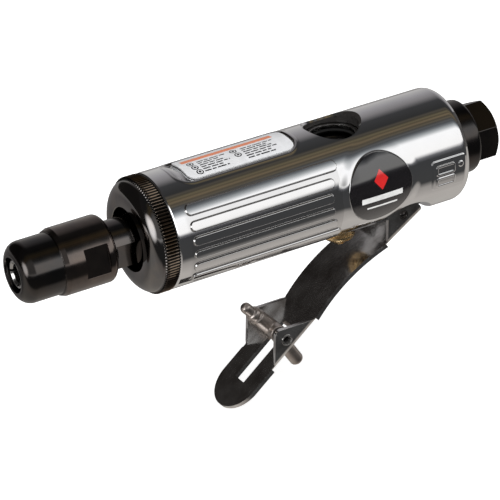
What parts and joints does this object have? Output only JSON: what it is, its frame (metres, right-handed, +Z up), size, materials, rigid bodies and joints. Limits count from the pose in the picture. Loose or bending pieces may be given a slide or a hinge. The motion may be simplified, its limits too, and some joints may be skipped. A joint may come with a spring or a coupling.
{
  "type": "pneumatic die grinder",
  "caption": "Straight air die grinder: round ribbed barrel with collet nose, hanging throttle lever with lock latch, top regulator and rear hose inlet.",
  "frame": {"origin": "middle of the bounding box seen from above, at the height of the lever's tip", "axes": "+X along the spindle axis towards the hose inlet, +Z up through the regulator, badge on the -Y side, lever hanging down"},
  "size_m": [0.1735, 0.0401, 0.0887],
  "materials": {
    "polished_aluminium": "polished",
    "black_oxide": "satin black oxide",
    "bright_steel": "bright",
    "bright_chrome": "bright chrome plate",
    "warm_nickel": "satin nickel",
    "yellow_brass": "machined",
    "black_rubber": "matt",
    "label_film": "satin printed film",
    "badge_gloss": "gloss",
    "vane_composite": "matt"
  },
  "bodies": {
    "housing": {"motor_housing": "polished_aluminium", "label_plate": "label_film", "badge_disc": "badge_gloss", "clamp_cap": "black_oxide", "front_bearing_outer_race": "bright_steel", "rear_bearing_outer_race": "bright_steel", "front_end_plate": "bright_steel", "cylinder": "bright_steel", "rear_end_plate": "bright_steel", "cylinder_dowel": "bright_steel", "rear_gasket": "black_rubber", "inlet_bushing": "black_oxide", "inlet_oring": "black_rubber", "inlet_screen": "bright_steel", "valve_bushing": "yellow_brass", "valve_seat": "yellow_brass", "valve_spring": "bright_steel", "regulator_oring": "black_rubber", "retaining_ring": "bright_steel", "lever_pivot_pin": "bright_steel"},
    "spindle": {"rotor": "bright_steel", "vane_1": "vane_composite", "vane_2": "vane_composite", "vane_3": "vane_composite", "vane_4": "vane_composite", "front_bearing_inner_race": "bright_steel", "rear_bearing_inner_race": "bright_steel", "collet_body": "black_oxide", "collet": "bright_steel"},
    "front_balls": {"front_bearing_balls": "bright_steel"},
    "rear_balls": {"rear_bearing_balls": "bright_steel"},
    "nut": {"collet_nut": "black_oxide"},
    "plunger": {"valve_plunger": "yellow_brass", "plunger_oring": "black_rubber", "valve_stem": "bright_steel"},
    "regulator": {"regulator_plug": "black_oxide"},
    "lever": {"throttle_lever": "bright_chrome", "latch_pin": "bright_steel", "latch_spring": "bright_steel"},
    "latch": {"lock_latch": "warm_nickel"}
  },
  "joints": [
    {"name": "spindle_spin", "type": "hinge", "parent": "housing", "child": "spindle", "pos_m": [0, 0, 0.0695], "axis": [1, 0, 0], "continuous": true},
    {"name": "front_cage_spin", "type": "hinge", "parent": "housing", "child": "front_balls", "pos_m": [-0.0384, 0, 0.0695], "axis": [1, 0, 0], "continuous": true},
    {"name": "rear_cage_spin", "type": "hinge", "parent": "housing", "child": "rear_balls", "pos_m": [0.0132, 0, 0.0695], "axis": [1, 0, 0], "continuous": true},
    {"name": "collet_nut_turn", "type": "hinge", "parent": "spindle", "child": "nut", "pos_m": [-0.07, 0, 0.0695], "axis": [1, 0, 0], "range_deg": [-360, 0]},
    {"name": "lever_squeeze", "type": "hinge", "parent": "housing", "child": "lever", "pos_m": [0.04845, 0, 0.053], "axis": [0, 1, 0], "range_deg": [0, 15.5], "stiffness_Nm_per_rad": 1.5, "springref_deg": -20.05},
    {"name": "plunger_press", "type": "slide", "parent": "housing", "child": "plunger", "axis": [0, 0, 1], "range_m": [0, 0.0021], "deforming": ["valve_spring"]},
    {"name": "latch_fold", "type": "hinge", "parent": "lever", "child": "latch", "pos_m": [0.00175, 0, 0.0219], "axis": [0, 1, 0], "range_deg": [0, 70], "stiffness_Nm_per_rad": 0.02, "springref_deg": -28.65},
    {"name": "regulator_turn", "type": "hinge", "parent": "housing", "child": "regulator", "pos_m": [0.02915, 0, 0.079], "axis": [0, 0, 1], "range_deg": [0, 180]}
  ],
  "couplings": [
    {"joint": "front_cage_spin", "follows": "spindle_spin", "ratio": 0.42},
    {"joint": "rear_cage_spin", "follows": "spindle_spin", "ratio": 0.415},
    {"joint": "plunger_press", "follows": "lever_squeeze", "m_per_rad": 0.0074}
  ]
}
